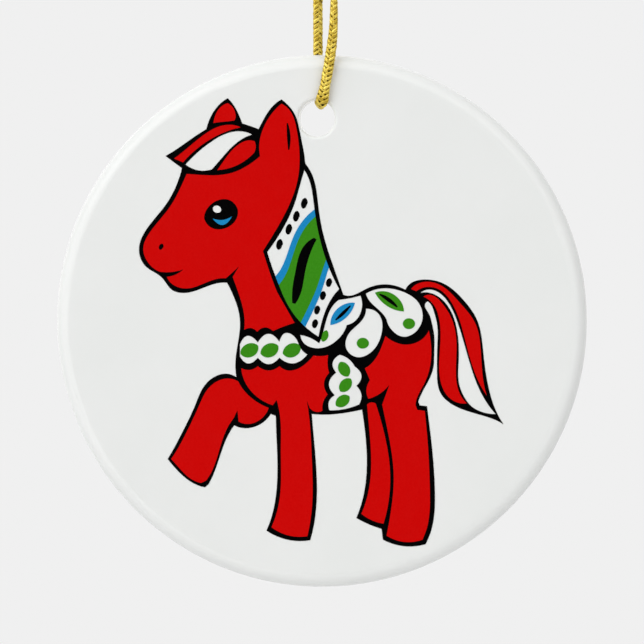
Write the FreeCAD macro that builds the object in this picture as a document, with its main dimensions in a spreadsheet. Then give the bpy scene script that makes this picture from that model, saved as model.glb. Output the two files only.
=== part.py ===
"""Round porcelain hanging ornament with a printed folk-art horse, on a gold cord loop.

Millimetres. +X right, +Y back, +Z up: the printed face looks towards -Y. The origin is
inside the top of the cord's loop, just under its knot, where a hook or a twig holds it.
"""
import FreeCAD, Part
import Sketcher
import math
import os

Vector = FreeCAD.Vector

# ---------------------------------------------------------------- driving dimensions

SIZES = {
    "disc_diameter": 73.0,      # over the glaze
    "disc_thickness": 4.0,      # over the glaze
    "edge_round": 1.9,          # rounding of the disc's rim, nearly a full half round
    "hole_diameter": 5.0,
    "hole_offset": -0.45,       # the hole's centre, to the right of the disc's centre
    "hole_height": 27.75,       # the hole's centre above the disc's centre
    "hole_round": 0.5,          # rounding of the hole's two lips
    "glaze_skin": 0.15,
    "ink_film": 0.04,
    "print_shift": 0.3,         # the print sits this far right of the disc's centre
    "print_scale": 0.988,       # the print's size, against the outlines as drawn below
    "window_growth": 0.11,      # how far windows in the black lines open past their outlines
    "disc_drop": 78.5,          # from the loop's top down to the disc's centre
    "pivot_rise": 1.8,          # the cord in the hole, above the hole's centre
    "cord_diameter": 1.0,
    "strand_stand_off": 2.8,    # the cord's two sides, in front of and behind the disc
    "lip_bend": 1.0,            # bend of the cord's centre line round the hole's lips
    "split_height": -22.5,      # where the turning part of the cord begins
    "knot_floor": 0.9,
    "knot_radius": 1.8,
    "knot_length": 3.4,
}

doc = FreeCAD.newDocument("ornament")
sheet = doc.addObject("Spreadsheet::Sheet", "sizes")
for row, (alias, value) in enumerate(SIZES.items(), start=1):
    sheet.set("A%d" % row, alias)
    sheet.set("B%d" % row, str(value))
    sheet.setAlias("B%d" % row, alias)
doc.recompute()


def size(alias):
    return float(sheet.get(alias))


# ---------------------------------------------------------------- shared helpers

subparts = []


def keep(item, label):
    """Name a finished sub-part and list it for export."""
    item.Label = label
    subparts.append(item)
    return item


def body_at_disc(name):
    """A body whose own origin is the disc's centre."""
    body = doc.addObject("PartDesign::Body", name)
    body.setExpression("Placement.Base.z", "-<<sizes>>.disc_drop")
    return body


def face_sketch(body, name, stand_off):
    """A sketch parallel to the disc's faces: its X is right and its Y is up."""
    sketch = body.newObject("Sketcher::SketchObject", name)
    plane = [item for item in body.Origin.OriginFeatures if item.Role == "XZ_Plane"][0]
    sketch.AttachmentSupport = [(plane, "")]
    sketch.MapMode = "FlatFace"
    sketch.setExpression(".AttachmentOffset.Base.z", stand_off)
    return sketch


# ---------------------------------------------------------------- ceramic disc

def disc_body(name, inset):
    """The pierced disc with rounded rim and lips, shrunk all over by inset."""
    body = body_at_disc(name)

    outline = face_sketch(body, name + "_outline", "-<<sizes>>.disc_thickness / 2 + " + inset)
    outline.addGeometry(Part.Circle(Vector(0, 0, 0), Vector(0, 0, 1), size("disc_diameter") / 2))
    outline.addConstraint(Sketcher.Constraint("Coincident", 0, 3, -1, 1))
    radius = outline.addConstraint(Sketcher.Constraint("Radius", 0, size("disc_diameter") / 2))
    outline.setExpression("Constraints[%d]" % radius, "<<sizes>>.disc_diameter / 2 - " + inset)
    pad = body.newObject("PartDesign::Pad", name + "_pad")
    pad.Profile = outline
    pad.setExpression("Length", "<<sizes>>.disc_thickness - 2 * " + inset)

    eye = face_sketch(body, name + "_hole", "<<sizes>>.disc_thickness")
    centre = Vector(size("hole_offset"), size("hole_height"), 0)
    eye.addGeometry(Part.Circle(centre, Vector(0, 0, 1), size("hole_diameter") / 2))
    across = eye.addConstraint(Sketcher.Constraint("DistanceX", -1, 1, 0, 3, centre.x))
    up = eye.addConstraint(Sketcher.Constraint("DistanceY", -1, 1, 0, 3, centre.y))
    radius = eye.addConstraint(Sketcher.Constraint("Radius", 0, size("hole_diameter") / 2))
    eye.setExpression("Constraints[%d]" % across, "<<sizes>>.hole_offset")
    eye.setExpression("Constraints[%d]" % up, "<<sizes>>.hole_height")
    eye.setExpression("Constraints[%d]" % radius, "<<sizes>>.hole_diameter / 2 + " + inset)
    pocket = body.newObject("PartDesign::Pocket", name + "_pocket")
    pocket.Profile = eye
    pocket.setExpression("Length", "<<sizes>>.disc_thickness * 2")
    doc.recompute()

    last = pocket
    for part_name, least, most, rounding in (
            ("_rim", size("hole_diameter"), size("disc_diameter"), "edge_round"),
            ("_lips", 0.0, size("hole_diameter"), "hole_round")):
        edges = [
            "Edge%d" % (number + 1) for number, edge in enumerate(last.Shape.Edges)
            if isinstance(edge.Curve, Part.Circle) and least < edge.Curve.Radius <= most]
        fillet = body.newObject("PartDesign::Fillet", name + part_name)
        fillet.Base = (last, edges)
        fillet.setExpression("Radius", "<<sizes>>.%s - %s" % (rounding, inset))
        doc.recompute()
        last = fillet
    return body


# ---------------------------------------------------------------- drawing the print

# An outline is a list of sides in millimetres from the print's centre, X right and Z up.
# Each side is one smooth curve from the last point of the side before it, and its own
# last point is a corner. The first side starts at the last corner.

def curve(points):
    """A smooth curve through the points, or a straight line between two."""
    places = [Vector(x, z, 0) * size("print_scale") for x, z in points]
    if len(places) == 2:
        return Part.LineSegment(places[0], places[1])
    spline = Part.BSplineCurve()
    spline.interpolate(places)
    return spline


def grown(points, distance):
    """The closed ring of points, each moved out by distance from the ring's inside."""
    ahead = points[1:] + points[:1]
    behind = points[-1:] + points[:-1]
    area = sum(here[0] * there[1] - there[0] * here[1] for here, there in zip(points, ahead))
    outward = math.copysign(distance, area)
    moved = []
    for last, (x, z), following in zip(behind, points, ahead):
        right, up = following[0] - last[0], following[1] - last[1]
        run = math.hypot(right, up)
        moved.append((x + outward * up / run, z - outward * right / run))
    return moved


def outline(*sides, grow=0.0):
    """The closed outline as curves, grown all round by grow."""
    moved = grown([point for side in sides for point in side], grow)
    curves = []
    corner = moved[-1]
    for side in sides:
        points, moved = moved[:len(side)], moved[len(side):]
        curves.append(curve([corner] + points))
        corner = points[-1]
    return curves


def ring(x, z, width, height, lean=0.0):
    """An ellipse, width across and height up, leaning to the right by lean degrees."""
    turn = math.radians(lean)
    points = []
    for step in range(8):
        angle = step * math.pi / 4
        right = width / 2 * math.cos(angle)
        up = height / 2 * math.sin(angle)
        place = Vector(
            x + right * math.cos(turn) + up * math.sin(turn),
            z - right * math.sin(turn) + up * math.cos(turn), 0)
        points.append(place * size("print_scale"))
    spline = Part.BSplineCurve()
    spline.interpolate(points, PeriodicFlag=True)
    return [spline]


def leaf(x, z, length, width, angle, bend=0.0):
    """A pointed leaf, its stem end first along angle, its middle pushed aside by bend."""
    turn = math.radians(angle)

    def place(along, aside):
        return (x + along * math.cos(turn) - aside * math.sin(turn),
                z + along * math.sin(turn) + aside * math.cos(turn))

    tip = place(length / 2, 0)
    stem = place(-length / 2, 0)
    over = [place(-length / 5, bend + width / 2), place(length / 5, bend + width / 2)]
    under = [place(length / 5, bend - width / 2), place(-length / 5, bend - width / 2)]
    return outline(over + [tip], under + [stem])


def stroke(width, *points):
    """A brush stroke along the points, tapered to a third of its width at both ends."""
    left, right = [], []
    for number, (x, z) in enumerate(points):
        before = points[max(number - 1, 0)]
        after = points[min(number + 1, len(points) - 1)]
        run = math.hypot(after[0] - before[0], after[1] - before[1])
        aside = ((before[1] - after[1]) / run, (after[0] - before[0]) / run)
        half = width / 6 if number in (0, len(points) - 1) else width / 2
        left.append((x + half * aside[0], z + half * aside[1]))
        right.append((x - half * aside[0], z - half * aside[1]))
    right.reverse()
    return outline(left[1:], [right[0]], right[1:], [left[0]])


# ---- the outer edge of the black line work

SILHOUETTE = outline(
    [(-20.0, 24.0), (-17.7, 25.6), (-16.1, 26.6)],
    [(-15.1, 29.0), (-14.2, 30.1), (-13.1, 30.9)],
    [(-12.4, 30.1), (-11.8, 29.1), (-11.1, 27.4)],
    [(-10.2, 27.1), (-8.8, 26.6)],
    [(-7.9, 28.3), (-6.9, 29.7), (-5.6, 30.7)],
    [(-4.7, 29.9), (-3.8, 28.7), (-3.0, 25.9), (-2.5, 23.4), (-2.3, 21.8)],
    [(-1.1, 19.6), (-0.5, 16.0), (0.1, 12.4), (1.3, 8.4), (3.0, 3.6)],
    [(4.1, 3.5), (5.9, 4.3), (8.0, 5.0), (9.5, 5.0), (11.6, 4.3)],
    [(12.5, 5.3), (14.0, 5.7), (16.8, 5.2), (19.9, 2.6), (21.5, 0.2), (22.4, -4.4),
     (23.1, -9.1), (25.2, -14.3)],
    [(20.6, -12.6), (17.7, -11.3), (16.6, -10.2), (16.1, -8.8), (16.0, -6.6), (16.0, -4.4),
     (16.1, -2.0), (16.0, -0.4), (15.6, 1.2), (15.2, 2.2), (14.7, 2.7)],
    [(14.3, 2.2), (14.8, 1.1), (15.3, -0.4), (15.6, -2.0), (15.6, -4.4), (15.5, -6.4),
     (15.0, -7.9), (14.3, -9.2), (13.4, -11.2)],
    [(13.6, -11.7)],
    [(14.6, -11.8)],
    [(15.2, -16.6), (15.7, -23.6), (15.3, -28.6), (14.4, -30.9)],
    [(11.6, -31.2), (8.5, -30.3)],
    [(8.3, -28.8)],
    [(6.6, -28.2), (4.8, -27.3)],
    [(6.1, -22.4), (6.2, -17.4), (5.6, -12.3)],
    [(2.9, -12.8), (0.2, -13.0), (-1.4, -12.9)],
    [(-0.9, -18.6), (-0.7, -24.6), (-1.6, -30.4)],
    [(-4.5, -30.4), (-7.7, -29.1)],
    [(-6.4, -24.4), (-6.2, -18.4), (-6.4, -13.2)],
    [(-7.1, -12.9)],
    [(-8.5, -14.3), (-10.6, -14.9), (-12.2, -14.5)],
    [(-13.8, -17.6), (-14.9, -20.8), (-15.8, -22.7)],
    [(-16.3, -23.1)],
    [(-18.0, -22.5), (-19.6, -21.3), (-21.5, -19.2)],
    [(-19.5, -15.6), (-17.6, -11.6), (-16.2, -8.8), (-14.0, -7.4), (-11.9, -7.8)],
    [(-11.9, -4.4), (-11.4, 0.2), (-12.2, 3.2), (-13.2, 5.3)],
    [(-16.2, 4.7), (-18.8, 3.9), (-20.9, 4.3), (-22.3, 6.0), (-24.6, 7.6), (-25.5, 10.0),
     (-24.4, 12.8), (-21.7, 16.2), (-20.0, 19.5), (-19.5, 21.2)],
    [(-21.8, 22.9)],
)

# ---- the windows in the line work

FAR_EAR = outline(
    [(-14.6, 28.8), (-13.9, 29.7), (-13.1, 30.1)],
    [(-12.6, 29.7), (-12.1, 28.2)],
    [(-12.2, 27.9)],
    [(-13.0, 27.8), (-14.1, 27.7), (-15.0, 27.5)],
    grow=size("window_growth"),
)
FORELOCK_TOP = outline(
    [(-18.8, 23.8), (-16.0, 26.0), (-14.5, 26.8), (-13.0, 27.1), (-11.4, 26.8)],
    [(-12.7, 26.6), (-15.4, 25.4), (-19.4, 22.1)],
    [(-20.5, 22.5)],
    grow=size("window_growth"),
)
FORELOCK_MIDDLE = outline(
    [(-16.9, 23.6), (-15.3, 24.8), (-13.5, 25.8), (-11.5, 26.2), (-9.8, 25.8)],
    [(-11.2, 25.3), (-13.0, 23.8), (-15.4, 21.1)],
    [(-17.2, 21.0), (-18.9, 21.7)],
    grow=size("window_growth"),
)
FORELOCK_LOW = outline(
    [(-13.1, 22.8), (-11.5, 24.4), (-10.4, 24.9), (-9.4, 24.8)],
    [(-9.3, 24.3), (-9.5, 23.4)],
    [(-11.6, 21.8), (-14.5, 21.0)],
    grow=size("window_growth"),
)
HEAD = outline(
    [(-4.4, 28.9), (-3.6, 26.5), (-3.2, 22.9), (-3.5, 19.4), (-4.5, 16.4), (-6.2, 13.1),
     (-8.3, 9.7)],
    [(-7.6, 7.4), (-6.9, 5.4), (-6.3, 3.9)],
    [(-3.9, -0.3)],
    [(-5.4, -0.7), (-6.8, -1.3)],
    [(-7.9, -0.8), (-9.0, -1.4)],
    [(-9.8, -0.9), (-10.7, -1.2)],
    [(-10.8, 1.4), (-11.6, 4.2), (-12.3, 6.1)],
    [(-11.4, 7.6)],
    [(-12.4, 6.9), (-13.4, 6.0)],
    [(-16.2, 5.4), (-18.8, 4.6), (-20.5, 5.0), (-21.5, 6.1)],
    [(-20.4, 6.3), (-19.2, 7.2)],
    [(-20.8, 6.9), (-22.5, 6.9)],
    [(-24.1, 8.1), (-24.8, 10.0), (-23.7, 12.5), (-21.0, 15.9), (-19.3, 19.1), (-18.8, 20.3)],
    [(-16.0, 20.1), (-12.6, 20.4), (-10.2, 21.5), (-8.5, 22.8)],
    [(-8.5, 25.2), (-7.8, 27.2), (-6.7, 28.9), (-5.6, 30.0)],
    grow=size("window_growth"),
)
MANE = outline(
    [(-1.75, 19.2), (-1.2, 16.0), (-0.6, 12.3), (0.6, 8.1), (2.3, 4.4)],
    [(1.0, 2.7), (0.1, 0.6), (-0.5, -2.1)],
    [(-2.6, -0.4), (-5.5, 4.1)],
    [(-6.2, 5.8), (-6.9, 7.7), (-7.5, 9.5)],
    [(-5.4, 12.6), (-3.7, 16.2), (-2.9, 18.9), (-2.4, 20.8)],
    grow=size("window_growth"),
)
BREAST_BAND = outline(
    [(-10.4, -2.2), (-8.9, -3.1)],
    [(-7.4, -1.9), (-5.9, -3.0)],
    [(-4.6, -1.8), (-3.7, -2.5), (-3.2, -3.5), (-2.1, -4.6)],
    [(-4.2, -5.8), (-5.9, -5.0)],
    [(-7.4, -5.9), (-8.9, -5.0)],
    [(-10.3, -5.8), (-11.3, -4.9)],
    [(-11.3, -3.3)],
    grow=size("window_growth"),
)
SADDLE_FRONT = outline(
    [(5.4, 1.5), (4.7, 0.2), (3.4, -0.5)],
    [(1.8, -2.8), (-0.6, -3.7), (-2.2, -3.2), (-2.9, -2.0)],
    [(-1.8, -2.4), (-0.3, -3.2)],
    [(0.6, -0.4), (1.4, 1.7), (2.4, 2.8)],
    [(3.8, 3.0), (5.3, 3.4)],
    grow=size("window_growth"),
)
SADDLE_MIDDLE = outline(
    [(7.6, 1.1), (8.3, -0.3)],
    [(7.9, -2.7), (6.6, -4.4), (4.8, -4.9), (3.5, -3.8), (3.8, -1.9), (5.3, -0.4), (6.2, 1.6)],
    grow=size("window_growth"),
)
SADDLE_BACK = outline(
    [(8.8, 4.4), (11.3, 3.9), (13.3, 2.5), (13.9, 0.6), (13.1, -1.3), (11.4, -2.1),
     (9.9, -1.3), (9.1, 0.2)],
    [(8.1, 1.5), (7.0, 2.5), (6.2, 3.7)],
    grow=size("window_growth"),
)
GIRTH = outline(
    [(3.7, -5.4), (4.5, -6.4)],
    [(5.4, -7.6), (4.7, -9.0)],
    [(5.4, -10.3), (5.1, -11.5)],
    [(3.2, -12.1), (1.1, -12.3)],
    [(1.1, -11.2), (1.9, -10.3)],
    [(1.1, -8.7), (2.1, -7.2)],
    [(1.6, -5.9), (2.5, -4.8)],
    grow=size("window_growth"),
)
CHEST = outline(
    [(-9.9, -6.9), (-8.9, -6.4)],
    [(-7.4, -7.0), (-5.9, -6.4)],
    [(-4.2, -7.0), (-2.4, -6.2), (-1.1, -4.9)],
    [(-0.1, -5.0), (0.8, -4.8)],
    [(0.7, -6.1), (0.9, -7.2)],
    [(0.2, -8.6), (0.7, -10.2)],
    [(0.1, -11.2), (0.0, -12.4)],
    [(-0.8, -12.5), (-1.6, -12.0)],
    [(-2.2, -11.0)],
    [(-1.9, -13.0), (-1.5, -19.0), (-1.4, -24.6), (-2.1, -29.8)],
    [(-4.4, -29.7), (-6.9, -28.6)],
    [(-5.7, -24.2), (-5.6, -18.0), (-5.7, -13.2), (-6.2, -10.9)],
    [(-6.8, -11.6)],
    [(-8.9, -10.5), (-10.4, -8.8), (-11.1, -6.6)],
    grow=size("window_growth"),
)
RAISED_FORELEG = outline(
    [(-10.6, -10.1), (-9.0, -11.4), (-7.5, -12.1)],
    [(-8.5, -13.5), (-10.2, -14.2), (-11.5, -13.9)],
    [(-11.7, -12.3)],
    [(-12.4, -13.5)],
    [(-14.2, -17.3), (-15.4, -20.8), (-16.2, -22.1)],
    [(-16.8, -22.4)],
    [(-18.1, -21.9), (-19.5, -20.7), (-20.9, -19.2)],
    [(-18.8, -15.6), (-17.0, -11.8), (-15.6, -9.3), (-13.8, -8.2), (-11.7, -8.5)],
    grow=size("window_growth"),
)
HINDQUARTER = outline(
    [(7.4, -5.5), (8.3, -3.9), (8.9, -2.2)],
    [(10.0, -3.0), (11.6, -3.4), (13.4, -3.0), (14.8, -1.4)],
    [(15.1, -4.2), (14.9, -6.4), (14.1, -8.7), (13.2, -10.4), (12.9, -11.6)],
    [(13.2, -12.4)],
    [(14.2, -12.5)],
    [(14.6, -16.8), (14.9, -23.4), (14.6, -28.2), (13.9, -30.2)],
    [(11.6, -30.5), (9.1, -29.7)],
    [(9.7, -26.4), (10.1, -21.4), (9.5, -16.4), (8.5, -11.6)],
    [(9.5, -8.8)],
    [(8.0, -10.0), (6.5, -10.7)],
    [(6.3, -9.7), (6.8, -8.2)],
    [(6.1, -6.6)],
    grow=size("window_growth"),
)
FAR_HIND_LEG = outline(
    [(6.9, -11.4), (7.4, -11.5)],
    [(8.8, -16.6), (9.4, -21.4), (9.0, -26.0), (8.5, -28.0)],
    [(7.2, -27.6), (5.6, -26.7)],
    [(6.8, -22.4), (6.9, -17.4), (6.4, -11.6)],
    grow=size("window_growth"),
)
TAIL_OUTER = outline(
    [(13.1, 4.9), (14.5, 5.3), (16.3, 4.9), (19.1, 2.4), (21.1, -0.2), (22.0, -4.9),
     (22.8, -10.3)],
    [(21.1, -6.5), (20.2, -3.4), (18.9, 1.0), (17.9, 2.9), (16.4, 4.4), (15.0, 4.8),
     (13.1, 4.2)],
    [(12.5, 4.4)],
    grow=size("window_growth"),
)
TAIL_WHITE = outline(
    [(15.2, 4.2), (16.5, 3.6), (17.4, 2.6), (18.8, -0.4), (20.0, -4.4), (21.4, -8.7),
     (24.0, -12.9)],
    [(22.0, -12.4), (20.9, -11.8)],
    [(19.6, -10.0), (19.1, -8.4), (19.1, -5.6), (19.1, -3.4), (18.1, 1.2), (16.8, 3.0),
     (15.3, 3.9), (13.8, 3.9)],
    grow=size("window_growth"),
)
TAIL_INNER = outline(
    [(14.8, 3.5), (15.6, 3.3), (16.5, 2.5), (17.9, 0.3), (18.6, -3.4), (18.5, -7.2),
     (18.7, -9.1), (20.0, -11.4)],
    [(18.6, -11.1), (17.7, -10.5), (16.9, -9.3), (16.4, -6.3), (16.6, -2.0), (16.4, 0.3),
     (15.8, 2.0), (14.2, 3.4)],
    grow=size("window_growth"),
)
WINDOWS = (
    FAR_EAR + FORELOCK_TOP + FORELOCK_MIDDLE + FORELOCK_LOW + HEAD + MANE + BREAST_BAND
    + SADDLE_FRONT + SADDLE_MIDDLE + SADDLE_BACK + GIRTH + CHEST + RAISED_FORELEG
    + HINDQUARTER + FAR_HIND_LEG + TAIL_OUTER + TAIL_WHITE + TAIL_INNER)

# ---- the bands across the mane, each edge running past the window at both ends

MANE_EDGES = [
    [(0.6, 16.3), (-1.9, 14.7), (-3.7, 12.2), (-4.7, 9.6), (-5.7, 7.2), (-7.9, 5.2)],
    [(0.6, 15.4), (-1.6, 13.8), (-3.1, 11.6), (-4.0, 9.2), (-4.9, 6.7), (-6.9, 4.2)],
    [(1.6, 10.4), (0.3, 7.6), (-0.6, 4.8), (-1.9, 1.8), (-3.4, -1.2)],
    [(2.3, 10.0), (1.0, 7.4), (0.1, 4.5), (-1.2, 1.4), (-2.7, -1.6)],
]


def mane_band(upper, lower):
    """The closed strip between two of the mane's edges."""
    over = MANE_EDGES[upper]
    under = MANE_EDGES[lower]
    return [curve(over), curve([over[-1], under[-1]]), curve(under), curve([under[0], over[0]])]


# ---- the small shapes inside the windows

EYE_LIDS = outline(
    [(-15.4, 16.2), (-13.6, 16.9), (-11.7, 15.5)],
    [(-12.6, 13.3), (-14.6, 12.7), (-16.4, 14.2)],
)
EYE_LIGHT = ring(-14.6, 15.5, 1.2, 1.0, 20)
EYE_SHINE = outline(
    [(-13.9, 13.3), (-12.5, 14.5)],
    [(-13.8, 14.0), (-15.2, 14.2)],
)
NOSTRIL = ring(-22.4, 10.3, 0.6, 0.9, 25)
EAR_FOLD = stroke(0.5, (-4.8, 27.4), (-4.6, 25.6), (-4.6, 23.7))
MANE_STROKE = stroke(1.35, (-0.9, 11.4), (-2.3, 9.4), (-3.0, 6.8), (-3.4, 4.6), (-3.9, 2.4))
MANE_DOTS = []
for x, z in ((-2.45, 16.3), (-3.55, 14.5), (-4.6, 12.7), (-5.9, 10.6)):
    MANE_DOTS += ring(x, z, 0.85, 1.5, 12)
for x, z in ((1.0, 5.3), (0.15, 3.5), (-0.65, 1.5), (-0.95, -0.4)):
    MANE_DOTS += ring(x, z, 0.8, 1.25, 12)

BLUE_LEAF = leaf(2.9, 0.95, 4.6, 1.5, 42, 0.15)
BLUE_VEIN = stroke(0.5, (1.9, 0.1), (2.9, 1.0), (4.0, 2.1))
BACK_LEAF = leaf(9.4, 2.6, 4.8, 1.6, -33, 0.25)
BACK_VEIN = stroke(0.55, (8.0, 3.7), (9.3, 2.9), (10.5, 1.9))
FRONT_SPRIG = leaf(0.4, -2.1, 1.7, 0.9, 70)
SADDLE_DOTS = ring(12.1, -0.4, 1.7, 1.5) + ring(5.7, -3.1, 1.7, 1.5)

BAND_LEAVES = []
for x in (-10.1, -7.3, -4.2):
    BAND_LEAVES += leaf(x, -4.0, 2.7, 1.7, 24, -0.1)
GIRTH_LEAVES = []
for x, z, angle in ((3.1, -6.7, -60), (3.3, -8.9, 50), (2.9, -11.1, 35)):
    GIRTH_LEAVES += leaf(x, z, 2.3, 1.4, angle)


def ink(name, curves):
    """One ink: its outlines padded by the film's thickness, out from the front face."""
    body = body_at_disc(name)
    body.AllowCompound = True
    sketch = face_sketch(body, name + "_outline", "<<sizes>>.disc_thickness / 2")
    sketch.setExpression(".AttachmentOffset.Base.x", "<<sizes>>.print_shift")
    sketch.addGeometry(curves)
    film = body.newObject("PartDesign::Pad", name + "_film")
    film.Profile = sketch
    film.setExpression("Length", "<<sizes>>.ink_film")
    return body


def trimmed_ink(name, curves, window):
    """An ink whose outlines run past a window of the line work and are cut off at it."""
    trimmed = doc.addObject("Part::Common", name)
    trimmed.Base = ink(name + "_strips", curves)
    trimmed.Tool = window
    return trimmed


# ---------------------------------------------------------------- the cord

def tube_path(points, bends):
    """Straight runs joined by tangent arcs. bends gives a radius for each inner point,
    or None for 0.45 of the shorter run over the tangent of half the turn."""
    edges = []
    radii = []
    at = points[0]
    for before, corner, after, radius in zip(points, points[1:], points[2:], bends):
        into = (corner - before).normalize()
        out = (after - corner).normalize()
        half_turn = into.getAngle(out) / 2
        if radius is None:
            shorter = min((corner - before).Length, (after - corner).Length)
            radius = 0.45 * shorter / math.tan(half_turn)
        reach = radius * math.tan(half_turn)
        start = corner - into * reach
        end = corner + out * reach
        to_centre = (out - into).normalize() * (radius / math.cos(half_turn))
        middle = corner + to_centre - (out - into).normalize() * radius
        edges.append(Part.LineSegment(at, start).toShape())
        edges.append(Part.Arc(start, middle, end).toShape())
        radii.append(round(radius, 2))
        at = end
    edges.append(Part.LineSegment(at, points[-1]).toShape())
    return Part.Wire(edges), radii


def cord_tube(name, points, bends):
    """One stretch of the cord as a plain round tube."""
    path, radii = tube_path(points, bends)
    across = size("cord_diameter")
    section = Part.Wire(Part.Circle(points[0], points[1] - points[0], across / 2).toShape())
    tube = doc.addObject("Part::Feature", name)
    tube.Shape = path.makePipeShell([section], True, False)
    measured = tube.Shape.Volume / (math.pi * across ** 2 / 4)
    print("%-18s length %.1f, by volume %.1f, radii %s" % (name, path.Length, measured, radii))
    return tube


# ================================================================ the pieces

# ---- ceramic

blank = keep(disc_body("porcelain_blank", "<<sizes>>.glaze_skin"), "porcelain_blank")
envelope = disc_body("glaze_envelope", "0")
glaze = doc.addObject("Part::Cut", "glaze_coat")
glaze.Base = envelope
glaze.Tool = blank
keep(glaze, "glaze_coat")

# ---- printed inks

keep(ink("ink_black_linework", SILHOUETTE + WINDOWS), "ink_black_linework")
keep(ink("ink_black_face", EYE_LIDS + EYE_LIGHT + EYE_SHINE + NOSTRIL + EAR_FOLD), "ink_black_face")
keep(ink("ink_black_strokes", MANE_STROKE + MANE_DOTS + BLUE_VEIN + BACK_VEIN),
     "ink_black_strokes")
keep(ink("ink_red_head", HEAD + EYE_LIDS + NOSTRIL + EAR_FOLD), "ink_red_head")
keep(ink("ink_red_far_ear", FAR_EAR), "ink_red_far_ear")
keep(ink("ink_red_forelock", FORELOCK_TOP + FORELOCK_LOW), "ink_red_forelock")
keep(ink("ink_red_chest", CHEST), "ink_red_chest")
keep(ink("ink_red_raised_foreleg", RAISED_FORELEG), "ink_red_raised_foreleg")
keep(ink("ink_red_hindquarter", HINDQUARTER), "ink_red_hindquarter")
keep(ink("ink_red_far_hind_leg", FAR_HIND_LEG), "ink_red_far_hind_leg")
keep(ink("ink_red_tail", TAIL_OUTER + TAIL_INNER), "ink_red_tail")

mane_window = ink("mane_window", MANE)
keep(trimmed_ink("ink_green_mane", mane_band(1, 2) + MANE_STROKE, mane_window), "ink_green_mane")
keep(trimmed_ink("ink_blue_mane", mane_band(0, 1) + mane_band(2, 3), mane_window), "ink_blue_mane")
keep(ink("ink_green_leaves", BAND_LEAVES + GIRTH_LEAVES + FRONT_SPRIG + SADDLE_DOTS
         + BACK_LEAF + BACK_VEIN), "ink_green_leaves")
keep(ink("ink_blue_details", BLUE_LEAF + BLUE_VEIN + EYE_SHINE), "ink_blue_details")

# ---- cord: X, Y, Z of each point of its route, from the origin

split = size("split_height")
pivot = size("hole_height") + size("pivot_rise") - size("disc_drop")
front = -size("strand_stand_off")
back = size("strand_stand_off")
floor = size("knot_floor")

SLING_ROUTE = [
    Vector(1.8, front, split),
    Vector(1.8, front, pivot + 11.5),
    Vector(0.15, front, pivot),
    Vector(-0.15, back, pivot),
    Vector(-0.8, back, pivot + 8.0),
    Vector(-0.8, back, split),
]
FRONT_ROUTE = [
    Vector(1.8, front, split),
    Vector(1.8, front, -15.0),
    Vector(1.15, -1.15, -2.6),
    Vector(0.6, -0.6, -0.6),
    Vector(0.6, -0.6, floor),
]
BACK_ROUTE = [
    Vector(-0.8, back, split),
    Vector(-0.8, back, -14.0),
    Vector(-1.15, 1.15, -2.6),
    Vector(-0.6, 0.6, -0.6),
    Vector(-0.6, 0.6, floor),
]
lip = size("lip_bend")
keep(cord_tube("cord_sling", SLING_ROUTE, [None, lip, lip, None]), "cord_sling")
keep(cord_tube("cord_front_strand", FRONT_ROUTE, [None] * 3), "cord_front_strand")
keep(cord_tube("cord_back_strand", BACK_ROUTE, [None] * 3), "cord_back_strand")

# ---- knot and its two tails

knot = doc.addObject("PartDesign::Body", "cord_knot")
profile = knot.newObject("Sketcher::SketchObject", "knot_profile")
profile.AttachmentSupport = [
    ([item for item in knot.Origin.OriginFeatures if item.Role == "XZ_Plane"][0], "")]
profile.MapMode = "FlatFace"
profile.setExpression(".AttachmentOffset.Base.y", "<<sizes>>.knot_floor")
waist = size("knot_radius")
tall = size("knot_length")
flat = 0.82 * waist
profile.addGeometry([
    Part.LineSegment(Vector(0, 0, 0), Vector(flat, 0, 0)),
    Part.Arc(Vector(flat, 0, 0), Vector(waist, tall / 2, 0), Vector(flat, tall, 0)),
    Part.LineSegment(Vector(flat, tall, 0), Vector(0, tall, 0)),
    Part.LineSegment(Vector(0, tall, 0), Vector(0, 0, 0)),
])
barrel = knot.newObject("PartDesign::Revolution", "knot_barrel")
barrel.Profile = profile
barrel.ReferenceAxis = (profile, ["V_Axis"])
barrel.Angle = 360
keep(knot, "cord_knot")

top = floor + tall
FRONT_TAIL = [
    Vector(0.65, -0.55, top),
    Vector(0.7, -0.6, top + 2.0),
    Vector(1.35, -1.1, top + 4.4),
    Vector(2.4, -1.3, top + 6.6),
]
BACK_TAIL = [
    Vector(-0.6, 0.5, top),
    Vector(-0.65, 0.6, top + 2.0),
    Vector(-1.5, 1.0, top + 4.0),
    Vector(-2.2, 1.2, top + 5.8),
]
keep(cord_tube("cord_front_tail", FRONT_TAIL, [None] * 2), "cord_front_tail")
keep(cord_tube("cord_back_tail", BACK_TAIL, [None] * 2), "cord_back_tail")

# ---------------------------------------------------------------- check and write

doc.recompute()
for item in doc.Objects:
    if "Invalid" in item.State or "Error" in item.State:
        raise RuntimeError("%s did not build: %s" % (item.Name, item.State))
for item in subparts:
    if item.Shape.isNull() or not item.Shape.isValid() or not item.Shape.Solids:
        raise RuntimeError("%s has no valid solid" % item.Label)

os.makedirs("parts", exist_ok=True)
for item in subparts:
    item.Shape.exportStep("parts/%s.step" % item.Label)
    print("%-24s solids %2d  volume %9.3f mm3" % (
        item.Label, len(item.Shape.Solids), item.Shape.Volume))
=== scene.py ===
"""Round porcelain hanging ornament with a printed folk-art horse, on a gold cord loop."""
import math

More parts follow.
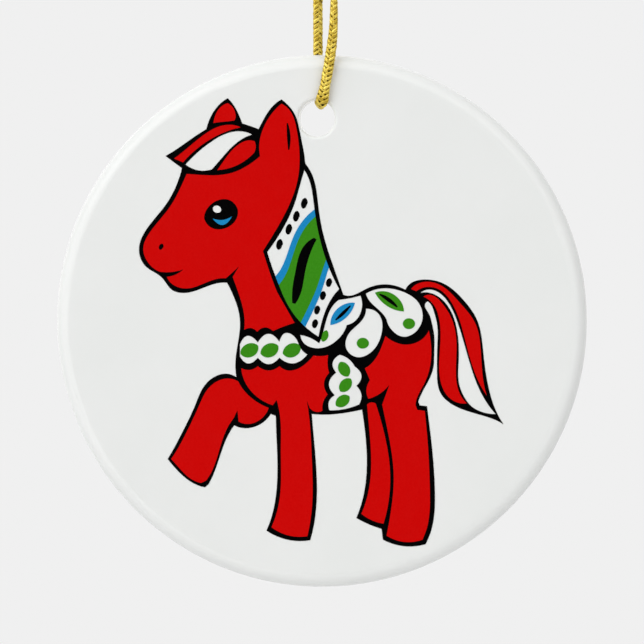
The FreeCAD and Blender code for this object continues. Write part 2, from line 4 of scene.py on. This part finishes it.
import bpy
import numpy as np
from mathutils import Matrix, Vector


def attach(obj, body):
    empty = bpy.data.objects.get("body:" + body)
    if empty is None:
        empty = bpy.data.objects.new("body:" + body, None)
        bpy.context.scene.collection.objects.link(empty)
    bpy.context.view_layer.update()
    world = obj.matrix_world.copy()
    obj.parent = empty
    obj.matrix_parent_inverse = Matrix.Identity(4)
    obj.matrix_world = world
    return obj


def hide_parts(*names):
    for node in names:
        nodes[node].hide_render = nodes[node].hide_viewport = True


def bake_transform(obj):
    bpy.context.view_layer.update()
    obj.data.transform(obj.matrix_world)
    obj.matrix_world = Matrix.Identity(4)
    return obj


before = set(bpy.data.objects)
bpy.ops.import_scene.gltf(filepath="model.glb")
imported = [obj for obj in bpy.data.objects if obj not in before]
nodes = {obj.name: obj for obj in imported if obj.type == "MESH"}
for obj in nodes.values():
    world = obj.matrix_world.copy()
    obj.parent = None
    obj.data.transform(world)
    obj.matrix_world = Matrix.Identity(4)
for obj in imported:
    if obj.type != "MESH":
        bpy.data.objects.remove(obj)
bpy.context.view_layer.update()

scene = bpy.context.scene
MM = 0.001

# ---------------------------------------------------------------- camera

AZIMUTH = math.radians(5.0)             # the camera stands a little to the right
LENS, SENSOR = 300.0, 36.0
VIEW_WIDTH = 88.4 * MM                  # what the picture takes in at the disc
AIM = Vector((0.15 * MM, 0.0, -78.66 * MM))   # just under the disc's centre

distance = VIEW_WIDTH * LENS / SENSOR
camera_data = bpy.data.cameras.new("camera")
camera_data.lens = LENS
camera_data.sensor_width = SENSOR
camera_data.clip_start = 0.005
camera = bpy.data.objects.new("camera", camera_data)
scene.collection.objects.link(camera)
back = Vector((math.sin(AZIMUTH), -math.cos(AZIMUTH), 0.0))
camera.location = AIM + back * distance
camera.rotation_mode = "QUATERNION"
camera.rotation_quaternion = (-back).to_track_quat("-Z", "Y")
scene.camera = camera
scene.view_settings.view_transform = "Standard"

# ---------------------------------------------------------------- the cord's route, in mm

LOOP_ROUTE = [
    (0.6, -0.6, 0.9),               # out of the knot
    (0.6, -0.6, -0.6),
    (1.15, -1.15, -2.6),
    (1.8, -2.8, -15.0),
    (2.0, -2.8, -22.5),
    (2.1, -2.8, -37.45),
    (1.6, -2.8, -42.2),
    (0.62, -2.7, -47.3),            # over the front lip of the hole
    (0.27, -2.45, -48.8),
    (0.1, -1.3, -49.0),             # through the hole
    (-0.1, 1.3, -49.0),
    (-0.35, 2.45, -48.85),          # over the back lip
    (-0.6, 2.7, -47.3),
    (-0.66, 2.8, -40.95),
    (-0.66, 2.8, -22.5),
    (-0.8, 2.8, -14.0),
    (-1.15, 1.15, -2.6),
    (-0.6, 0.6, -0.6),
    (-0.6, 0.6, 0.9),               # back into the knot
]


def centre_line(name, route):
    """The points of the smooth curve that the route's points control, in metres."""
    curve = bpy.data.curves.new(name, "CURVE")
    curve.dimensions = "3D"
    spline = curve.splines.new("NURBS")
    spline.points.add(len(route) - 1)
    for point, (x, y, z) in zip(spline.points, route):
        point.co = (x * MM, y * MM, z * MM, 1.0)
    spline.order_u = 3
    spline.use_endpoint_u = True
    spline.resolution_u = 32
    holder = bpy.data.objects.new(name, curve)
    scene.collection.objects.link(holder)
    mesh = bpy.data.meshes.new_from_object(holder)
    line = np.array([vertex.co for vertex in mesh.vertices])
    bpy.data.objects.remove(holder)
    bpy.data.curves.remove(curve)
    bpy.data.meshes.remove(mesh)
    return line


def evenly(line, step):
    """The same line as points one step apart, and the distance of each along it."""
    runs = np.linalg.norm(np.diff(line, axis=0), axis=1)
    along = np.concatenate([[0.0], np.cumsum(runs)])
    keep = np.concatenate([[True], runs > 0])
    count = max(int(round(along[-1] / step)), 2)
    at = np.linspace(0.0, along[-1], count + 1)
    return np.stack([np.interp(at, along[keep], line[keep, i]) for i in range(3)], 1), at


def unit(vectors):
    """The same directions at length one."""
    return vectors / np.linalg.norm(vectors, axis=-1, keepdims=True)


def frames_along(line, across):
    """Each point's width and thickness directions, carried along the line without twist.
    across is about the width direction at its start."""
    tangent = unit(np.gradient(line, axis=0))
    width = np.empty_like(line)
    side = np.array(across, float)
    for number, ahead in enumerate(tangent):
        side = side - ahead * side.dot(ahead)
        side /= np.linalg.norm(side)
        width[number] = side
    return width, np.cross(tangent, width)


# ---------------------------------------------------------------- plaited cord

PITCH = 2.6 * MM            # a strand goes once round the cord in this length
STRANDS_EACH_WAY = 4
STRAND_HALF_WIDTH = 0.225 * MM
STRAND_HALF_THICKNESS = 0.11 * MM
WEAVE_DEPTH = 0.075 * MM    # how far a strand rises over and dips under the others
SLACK = 0.13                # how unevenly the strands are pulled
FRAY_LENGTH = 1.1 * MM      # the end of a tail over which its strands spread
FRAY_SPREAD = 0.9           # how much further apart they are at its very end
STEP = 0.07 * MM
STRAND_SIDES = 8


def plait(name, line, width, thickness, frayed=False):
    """A mesh of eight flat strands that run both ways round the line, each over two and
    under two of the others. width and thickness take the fraction of the length from its start.
    Its attribute "lift" is high where a strand lies on top and on each strand's outer side, and
    low in the gaps; the cord's colour paints shade from it. Its map "thread" runs across and along
    the strands."""
    centre, along = evenly(line, STEP)
    wide, thick = frames_along(centre, (1.0, 0.02, 0.0))
    share = along / along[-1]
    half_wide = width(share) / 2 - STRAND_HALF_THICKNESS - WEAVE_DEPTH
    half_thick = thickness(share) / 2 - STRAND_HALF_THICKNESS - WEAVE_DEPTH
    spread = np.ones_like(along)
    if frayed:
        spread += FRAY_SPREAD * np.clip((along - along[-1] + FRAY_LENGTH) / FRAY_LENGTH, 0, 1) ** 2
    turn = np.linspace(0, 2 * math.pi, STRAND_SIDES, endpoint=False)
    half_strand = (STRAND_HALF_WIDTH * np.cos(turn))[None, :]
    count = len(centre)
    points, lifts, faces, corners = [], [], [], []
    for way in (1, -1):
        for strand in range(STRANDS_EACH_WAY):
            angle = (way * 2 * math.pi * along / PITCH
                     + (strand + 0.25) * 2 * math.pi / STRANDS_EACH_WAY)
            over = way * np.cos(4 * math.pi * along / PITCH + math.pi * (strand - way * 0.25))
            over = np.sign(over) * np.abs(over) ** 0.6      # flat on top, quick to cross
            # slow waves of a few millimetres, out of step from strand to strand
            place = 2 * math.pi * along / MM
            sway = np.sin(place / 3.7 + 1.9 * strand + way) + np.sin(place / 1.9 + 2.7 * strand)
            angle += SLACK * sway
            snug = 1 - SLACK * np.sin(place / 2.9 + 2.3 * strand - way)
            reach = over * WEAVE_DEPTH * snug
            right = ((half_wide + reach) * spread * np.cos(angle))[:, None]
            up = ((half_thick + reach) * spread * np.sin(angle))[:, None]
            middle = centre + wide * right + thick * up
            ahead = unit(np.gradient(middle, axis=0))
            out = unit(wide * (np.cos(angle) / half_wide)[:, None]
                       + thick * (np.sin(angle) / half_thick)[:, None])
            out = unit(out - ahead * np.sum(out * ahead, 1)[:, None])
            aside = np.cross(ahead, out)
            rings = (middle[:, None]
                     + aside[:, None] * (snug[:, None] * half_strand)[:, :, None]
                     + out[:, None] * (STRAND_HALF_THICKNESS * np.sin(turn))[None, :, None])
            first = sum(len(part) for part in points)
            points.append(rings.reshape(-1, 3))
            # lift: high on top of the crossings and on each strand's outer side, low in the gaps
            # and under the crossings; the cord's colour uses it for painted shade
            lifts.append((0.45 + 0.25 * over[:, None] + 0.3 * np.sin(turn)[None]).ravel())
            for ring in range(count - 1):
                here = first + ring * STRAND_SIDES
                for side in range(STRAND_SIDES):
                    beside = (side + 1) % STRAND_SIDES
                    faces.append((here + side, here + beside,
                                  here + STRAND_SIDES + beside, here + STRAND_SIDES + side))
                    left = strand + way * 0.5 + side / STRAND_SIDES
                    right_edge = left + 1 / STRAND_SIDES
                    low, high = along[ring] / MM, along[ring + 1] / MM
                    corners += [left, low, right_edge, low, right_edge, high, left, high]
            last = first + (count - 1) * STRAND_SIDES
            for start, order in ((first, -1), (last, 1)):
                cap = tuple(range(start, start + STRAND_SIDES))[::order]
                faces.append(cap)
                corners += [0.5, along[0 if start == first else -1] / MM] * STRAND_SIDES
    mesh = bpy.data.meshes.new(name)
    mesh.from_pydata(np.concatenate(points).tolist(), [], faces)
    mesh.uv_layers.new(name="thread").data.foreach_set("uv", corners)
    lift = mesh.attributes.new("lift", "FLOAT", "POINT")
    lift.data.foreach_set("value", np.concatenate(lifts))
    mesh.polygons.foreach_set("use_smooth", [True] * len(mesh.polygons))
    mesh.update()
    piece = bpy.data.objects.new(name, mesh)
    scene.collection.objects.link(piece)
    return piece


# ---------------------------------------------------------------- materials

def shader(name):
    """A new material, its node tree and its main shader."""
    material = bpy.data.materials.new(name)
    material.use_nodes = True
    tree = material.node_tree
    return material, tree, tree.nodes["Principled BSDF"]


def noise(tree, where, scale, detail=2.0, roughness=0.5):
    """Fractal noise over the coordinates given, scale in features per unit of them."""
    texture = tree.nodes.new("ShaderNodeTexNoise")
    texture.inputs["Scale"].default_value = scale
    texture.inputs["Detail"].default_value = detail
    texture.inputs["Roughness"].default_value = roughness
    tree.links.new(where, texture.inputs["Vector"])
    return texture.outputs["Fac"]


def blended(tree, share, low, high, from_low=0.0, from_high=1.0):
    """A colour between low and high as share goes from from_low to from_high."""
    ramp = tree.nodes.new("ShaderNodeValToRGB")
    ramp.color_ramp.elements[0].position = from_low
    ramp.color_ramp.elements[0].color = (*low, 1.0)
    ramp.color_ramp.elements[1].position = from_high
    ramp.color_ramp.elements[1].color = (*high, 1.0)
    tree.links.new(share, ramp.inputs["Fac"])
    return ramp.outputs["Color"]


def level(tree, share, low, high, from_low=0.0, from_high=1.0):
    """A number between low and high as share goes from from_low to from_high."""
    change = tree.nodes.new("ShaderNodeMapRange")
    change.inputs["From Min"].default_value = from_low
    change.inputs["From Max"].default_value = from_high
    change.inputs["To Min"].default_value = low
    change.inputs["To Max"].default_value = high
    tree.links.new(share, change.inputs["Value"])
    return change.outputs["Result"]


def bump(tree, height, strength, depth, under=None):
    """A bump of that depth in metres, over another where one is given."""
    relief = tree.nodes.new("ShaderNodeBump")
    relief.inputs["Strength"].default_value = strength
    relief.inputs["Distance"].default_value = depth
    tree.links.new(height, relief.inputs["Height"])
    if under is not None:
        tree.links.new(under, relief.inputs["Normal"])
    return relief.outputs["Normal"]


def multiplied(tree, first, second):
    """The product of two colours."""
    mix = tree.nodes.new("ShaderNodeMix")
    mix.data_type = "RGBA"
    mix.blend_type = "MULTIPLY"
    mix.inputs["Factor"].default_value = 1.0
    tree.links.new(first, mix.inputs["A"])
    tree.links.new(second, mix.inputs["B"])
    return mix.outputs["Result"]


def place_on_object(tree):
    """Coordinates in metres, fixed to the object."""
    return tree.nodes.new("ShaderNodeTexCoord").outputs["Object"]


def glaze_material():
    """White glaze: glossy, with the faint waviness and pinholes that firing leaves."""
    material, tree, main = shader("white_glaze")
    where = place_on_object(tree)
    clouds = noise(tree, where, 90.0, 3.0)
    tree.links.new(blended(tree, clouds, (0.855, 0.868, 0.850), (0.875, 0.884, 0.868), 0.3, 0.7),
                   main.inputs["Base Color"])
    tree.links.new(level(tree, noise(tree, where, 700.0), 0.13, 0.2), main.inputs["Roughness"])
    wave = bump(tree, noise(tree, where, 420.0, 1.0), 0.12, 0.03 * MM)
    specks = level(tree, noise(tree, where, 5200.0, 0.0), 0.0, 1.0, 0.2, 0.3)
    tree.links.new(bump(tree, specks, 0.15, 0.01 * MM, wave), main.inputs["Normal"])
    main.inputs["IOR"].default_value = 1.5
    main.inputs["Subsurface Weight"].default_value = 0.12
    main.inputs["Subsurface Radius"].default_value = (0.9, 0.85, 0.8)
    main.inputs["Subsurface Scale"].default_value = 0.6 * MM
    return material


def porcelain_material():
    """Bisque porcelain under the glaze: matt and finely grained."""
    material, tree, main = shader("porcelain")
    where = place_on_object(tree)
    grain = noise(tree, where, 9000.0, 3.0)
    tree.links.new(blended(tree, grain, (0.80, 0.79, 0.76), (0.86, 0.85, 0.82)),
                   main.inputs["Base Color"])
    tree.links.new(bump(tree, grain, 0.4, 0.02 * MM), main.inputs["Normal"])
    main.inputs["Roughness"].default_value = 0.75
    return material


def ink_material(name, colour, paler, shine):
    """Ink fired into the glaze: even colour with a faint mottle, less shiny than the glaze."""
    material, tree, main = shader(name)
    where = place_on_object(tree)
    mottle = noise(tree, where, 3400.0, 3.0, 0.6)
    tree.links.new(blended(tree, mottle, colour, paler, 0.35, 0.75), main.inputs["Base Color"])
    tree.links.new(level(tree, noise(tree, where, 700.0), 0.16, 0.24), main.inputs["Roughness"])
    wave = bump(tree, noise(tree, where, 420.0, 1.0), 0.12, 0.03 * MM)
    tree.links.new(bump(tree, mottle, 0.12, 0.006 * MM, wave), main.inputs["Normal"])
    main.inputs["IOR"].default_value = 1.45
    main.inputs["Specular IOR Level"].default_value = shine
    return material


def gold_cord_material():
    """Metallic gold yarn with painted shade and painted glints: painted olive brown shade in the
    gaps, under the crossings and on the strands' inner sides, full gold where a strand lies on
    top, and painted glints along the filaments.
    """
    material, tree, main = shader("gold_cord")
    thread = tree.nodes.new("ShaderNodeUVMap")
    thread.uv_map = "thread"
    stretch = tree.nodes.new("ShaderNodeMapping")
    stretch.inputs["Scale"].default_value = (7.0, 1.6, 1.0)
    tree.links.new(thread.outputs["UV"], stretch.inputs["Vector"])
    filaments = noise(tree, stretch.outputs["Vector"], 1.0, 3.0, 0.65)
    lift = tree.nodes.new("ShaderNodeAttribute")
    lift.attribute_name = "lift"
    # painted shade: the lift attribute turns the gold olive brown in the gaps, under the crossings
    # and on the strands' inner sides, and leaves it full gold where a strand lies on top
    body = blended(tree, lift.outputs["Fac"], (0.16, 0.105, 0.003), (1.0, 0.81, 0.17), 0.26, 0.70)
    # painted glints: filament noise streaks the colour from a darker gold up to full brightness
    # along the strands
    painted_glints = blended(tree, filaments, (0.60, 0.48, 0.16), (1.0, 1.0, 1.0), 0.36, 0.56)
    wander = tree.nodes.new("ShaderNodeMapping")
    wander.inputs["Scale"].default_value = (0.7, 0.8, 1.0)
    tree.links.new(thread.outputs["UV"], wander.inputs["Vector"])
    patches = noise(tree, wander.outputs["Vector"], 1.0, 1.0)
    tone = blended(tree, patches, (0.68, 0.62, 0.38), (1.0, 1.0, 1.0), 0.36, 0.54)
    colour = multiplied(tree, multiplied(tree, body, painted_glints), tone)
    tree.links.new(colour, main.inputs["Base Color"])
    tree.links.new(level(tree, filaments, 0.24, 0.48), main.inputs["Roughness"])
    tree.links.new(bump(tree, filaments, 0.6, 0.03 * MM), main.inputs["Normal"])
    main.inputs["Metallic"].default_value = 0.85
    return material


RED, RED_PALER = (0.585, 0.001, 0.001), (0.615, 0.004, 0.003)
GREEN, GREEN_PALER = (0.036, 0.235, 0.007), (0.046, 0.265, 0.012)
BLUE, BLUE_PALER = (0.008, 0.225, 0.50), (0.018, 0.26, 0.55)
BLACK, BLACK_PALER = (0.0004, 0.0004, 0.0006), (0.002, 0.002, 0.002)

finishes = {
    "porcelain_blank": porcelain_material(),
    "glaze_coat": glaze_material(),
    "ink_black": ink_material("black_ink", BLACK, BLACK_PALER, 0.1),
    "ink_red": ink_material("red_ink", RED, RED_PALER, 0.2),
    "ink_green": ink_material("green_ink", GREEN, GREEN_PALER, 0.2),
    "ink_blue": ink_material("blue_ink", BLUE, BLUE_PALER, 0.2),
}
for name, part in nodes.items():
    for beginning, finish in finishes.items():
        if name.startswith(beginning):
            for slot in part.material_slots:
                slot.material = finish
gold = gold_cord_material()

# ---------------------------------------------------------------- the loop


def loop_width(share):
    """Widest over the hole's lips and round inside it. The front side turns its edge to the
    front higher up."""
    return MM * np.interp(
        share, [0.0, 0.33, 0.41, 0.455, 0.473, 0.481, 0.486, 0.514, 0.519, 0.528, 0.56, 1.0],
        [1.0, 1.0, 1.52, 1.48, 1.85, 1.5, 1.0, 1.0, 1.3, 1.6, 1.5, 1.5])


def loop_thickness(share):
    """Thinnest where the loop bends over the two lips."""
    return MM * np.interp(share, [0.0, 0.33, 0.41, 0.475, 0.487, 0.513, 0.525, 0.6, 1.0],
                          [1.1, 1.1, 0.92, 0.8, 0.98, 0.98, 0.8, 0.92, 0.92])


loop_line = centre_line("loop_route", LOOP_ROUTE)
loop = plait("cord_loop", loop_line, loop_width, loop_thickness)
loop.data.materials.append(gold)

# ---------------------------------------------------------------- knot and tails

KNOT_MIDDLE = 2.6           # its height above the frame's origin, in mm
WRAP_RADIUS = 1.25
WRAP_START, WRAP_TURN = -60, 410        # where a wrap starts and how far it goes, in degrees
WRAP_FALL = 1.24            # how far a wrap comes down in its turn, in mm
WRAP_OFFSET = 0.55          # how far each end's wrap is from the knot's middle, in mm
WRAP_POINTS = 9


def knotted_end(side, tail):
    """The route of one end of the cord, in mm: up through the knot, once round both ends
    on its outside, and up through it again to the tail. side is 1 for the front end."""
    start = [(0.6 * side, -0.6 * side, 0.9), (0.35 * side, -0.45 * side, 2.2)]
    wrap = []
    for number in range(WRAP_POINTS):
        share = number / (WRAP_POINTS - 1)
        angle = math.radians(WRAP_START + WRAP_TURN * share)
        height = KNOT_MIDDLE + WRAP_OFFSET * side + WRAP_FALL * (0.5 - share)
        wrap.append((WRAP_RADIUS * math.cos(angle), WRAP_RADIUS * math.sin(angle), height))
    return start + wrap + [(0.3 * side, 0.3, 2.4), (0.55 * side, -0.45 * side, 3.6)] + tail


FRONT_TAIL = [(0.65, -0.55, 4.3), (0.7, -0.6, 6.3), (1.35, -1.1, 8.7), (2.4, -1.3, 10.9)]
BACK_TAIL = [(-0.6, 0.5, 4.3), (-0.65, 0.6, 6.3), (-1.5, 1.0, 8.3), (-2.2, 1.2, 10.1)]


def even(size):
    """A width or thickness that is the same all along."""
    return lambda share: np.full_like(share, size)


ends = []
for name, side, tail in (("knot_front_end", 1, FRONT_TAIL), ("knot_back_end", -1, BACK_TAIL)):
    end = plait(name, centre_line(name + "_route", knotted_end(side, tail)),
                even(1.12 * MM), even(1.0 * MM), frayed=True)
    end.data.materials.append(gold)
    ends.append(end)
front_end, back_end = ends

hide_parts("cord_sling", "cord_front_strand", "cord_back_strand")
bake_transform(loop)
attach(front_end, "hanger")
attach(back_end, "hanger")
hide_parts("cord_knot", "cord_front_tail")
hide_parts("cord_back_tail")

# ---------------------------------------------------------------- stage and light

BACKGROUND = 0.871          # the pale backdrop, about 240 of 255
LIGHT_LEVEL = 0.99
LIGHT_SLOPE = 0.34          # how much brighter the studio is towards its light side
BRIGHT_SIDE = Vector((-1.0, -0.15, 1.0)).normalized()
SIDE_LIGHT, END_LIGHT = 0.55, 1.45      # the studio's walls at its sides, and in front
BACK_SHARE = 0.55           # how far the wall behind gets from SIDE_LIGHT to END_LIGHT
DARK_FROM, DARK_TO = 0.90, 0.975        # where a dark round patch in front starts and is full

floor_mesh = bpy.data.meshes.new("floor")
reach, depth = 2.5, -1.3
floor_mesh.from_pydata([(-reach, -reach, depth), (reach, -reach, depth),
                        (reach, reach, depth), (-reach, reach, depth)], [], [(0, 1, 2, 3)])
floor = bpy.data.objects.new("floor", floor_mesh)
scene.collection.objects.link(floor)
floor_paint, _, floor_shader = shader("floor_paint")
floor_shader.inputs["Base Color"].default_value = (0.8, 0.8, 0.8, 1.0)
floor_shader.inputs["Roughness"].default_value = 0.9
floor_mesh.materials.append(floor_paint)

world = bpy.data.worlds.new("studio")
world.use_nodes = True
scene.world = world
tree = world.node_tree
direction = tree.nodes.new("ShaderNodeTexCoord").outputs["Generated"]


def towards(vector):
    """How far each direction of the studio points along the vector, from -1 to 1."""
    dot = tree.nodes.new("ShaderNodeVectorMath")
    dot.operation = "DOT_PRODUCT"
    dot.inputs[1].default_value = vector
    tree.links.new(direction, dot.inputs[0])
    return dot.outputs["Value"]


def combined(operation, first, second):
    """The two values, or a value and a number, put together by that operation."""
    node = tree.nodes.new("ShaderNodeMath")
    node.operation = operation
    for socket, value in zip(node.inputs, (first, second)):
        if isinstance(value, float):
            socket.default_value = value
        else:
            tree.links.new(value, socket)
    return node.outputs["Value"]


slope = level(tree, towards(BRIGHT_SIDE), LIGHT_LEVEL - LIGHT_SLOPE, LIGHT_LEVEL + LIGHT_SLOPE,
              -1.0, 1.0)
front = towards((0.0, -1.0, 0.0))
either_end = combined("MAXIMUM", front, combined("MULTIPLY", front, -BACK_SHARE))
facing = level(tree, either_end, SIDE_LIGHT, END_LIGHT)
dark_front = level(tree, front, 1.0, 0.0, DARK_FROM, DARK_TO)
lit = combined("MULTIPLY", combined("MULTIPLY", slope, facing), dark_front)
path = tree.nodes.new("ShaderNodeLightPath")
seen = tree.nodes.new("ShaderNodeMix")
tree.links.new(path.outputs["Is Camera Ray"], seen.inputs["Factor"])
tree.links.new(lit, seen.inputs["A"])
seen.inputs["B"].default_value = BACKGROUND
tree.links.new(seen.outputs["Result"], tree.nodes["Background"].inputs["Strength"])
tree.nodes["Background"].inputs["Color"].default_value = (1.0, 1.0, 1.0, 1.0)

key = bpy.data.lights.new("key", "AREA")
key.size = 0.3
key.energy = 0.25
lamp = bpy.data.objects.new("key", key)
lamp.location = (-0.32, -0.30, 0.22)
lamp.rotation_mode = "QUATERNION"
lamp.rotation_quaternion = (AIM - lamp.location).to_track_quat("-Z", "Y")
scene.collection.objects.link(lamp)
